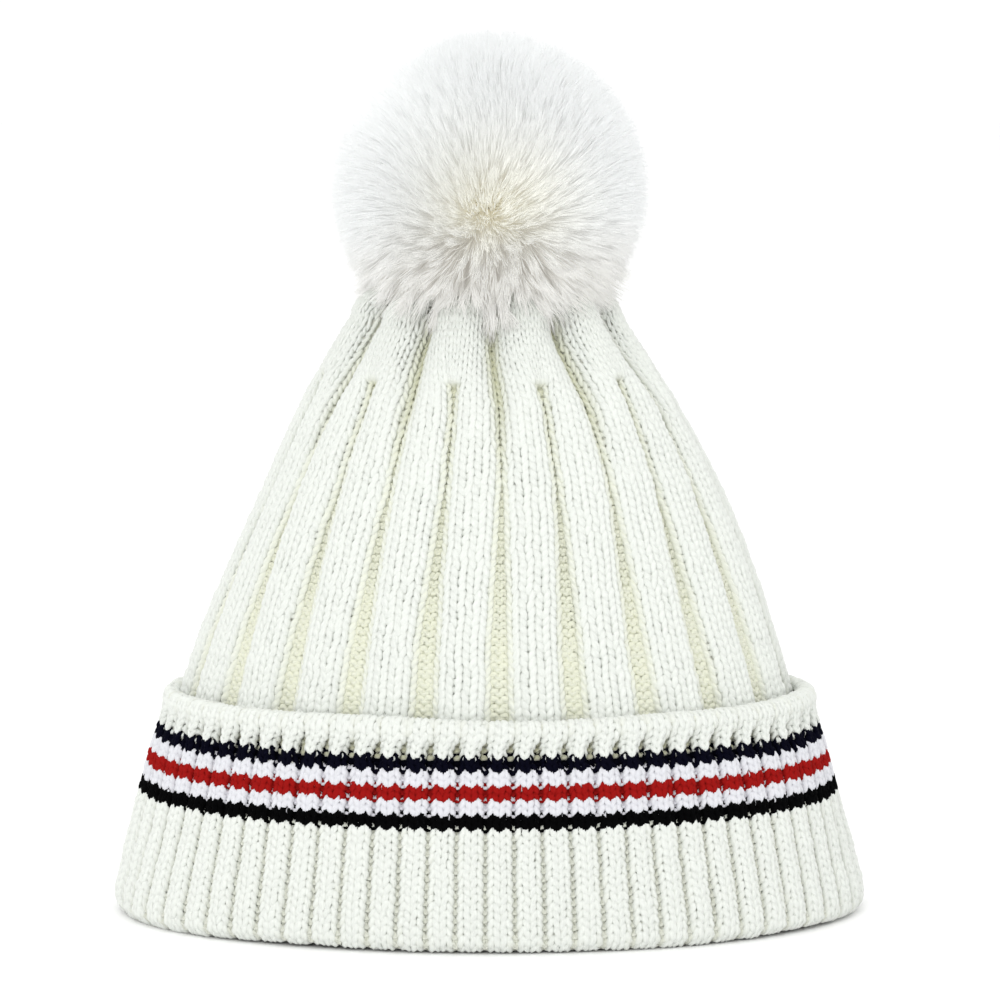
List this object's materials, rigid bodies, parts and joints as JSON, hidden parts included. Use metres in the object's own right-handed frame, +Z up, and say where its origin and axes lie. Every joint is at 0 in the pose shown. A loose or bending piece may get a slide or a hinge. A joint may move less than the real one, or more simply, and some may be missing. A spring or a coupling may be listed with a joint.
{
  "type": "pom pom beanie",
  "caption": "Rib-knit beanie with a turned-up striped cuff and a round faux fur pom pom that rocks, turns and snaps off.",
  "frame": {"origin": "middle of the head opening, on the plane that the cuff's fold stands on", "axes": "+X along the broad way of the oval opening, +Y to the back, where the seam is, +Z up through the pom pom"},
  "size_m": [0.224, 0.1488, 0.2611],
  "materials": {
    "yarn_white": "matte",
    "yarn_black": "matte",
    "yarn_red": "matte",
    "yarn_navy": "matte",
    "felt": "matte",
    "snap_metal": "polished",
    "disc_plastic": "matte",
    "sewing_thread": "matte",
    "fur_backing": "matte",
    "filling": "matte",
    "fur": "matte"
  },
  "bodies": {
    "hat": {"knit_body": "yarn_white", "knit_crown": "yarn_white", "cuff_inner_layer": "yarn_white", "cuff_fold": "yarn_white", "cuff_rib_band": "yarn_white", "stripe_black": "yarn_black", "stripe_white_lower": "yarn_white", "stripe_red": "yarn_red", "stripe_white_upper": "yarn_white", "stripe_navy": "yarn_navy", "cuff_edge_band": "yarn_white", "back_seam": "yarn_white"},
    "crown_tip": {"crown_gather": "yarn_white", "drawstring": "yarn_white", "drawstring_knot": "yarn_white"},
    "snap_base": {"felt_washer": "felt", "snap_cap": "snap_metal", "snap_socket": "snap_metal"},
    "snap_turn": {"snap_spring": "snap_metal"},
    "pom_pom": {"snap_stud": "snap_metal", "stud_post": "snap_metal", "pom_base_disc": "disc_plastic", "pom_gather_thread": "sewing_thread", "pom_shell": "fur_backing", "pom_filling": "filling", "fur_pile": "fur"}
  },
  "joints": [
    {"name": "pom_nod", "type": "hinge", "parent": "hat", "child": "crown_tip", "pos_m": [0, 0, 0.176], "axis": [1, 0, 0], "range_deg": [-12, 12], "stiffness_Nm_per_rad": 0.12},
    {"name": "pom_sway", "type": "hinge", "parent": "crown_tip", "child": "snap_base", "pos_m": [0, 0, 0.176], "axis": [0, 1, 0], "range_deg": [-12, 12], "stiffness_Nm_per_rad": 0.12},
    {"name": "pom_swivel", "type": "hinge", "parent": "snap_base", "child": "snap_turn", "pos_m": [0, 0, 0.19], "axis": [0, 0, 1], "continuous": true},
    {"name": "pom_pull_off", "type": "slide", "parent": "snap_turn", "child": "pom_pom", "axis": [0, 0, 1], "range_m": [0, 0.05]}
  ]
}
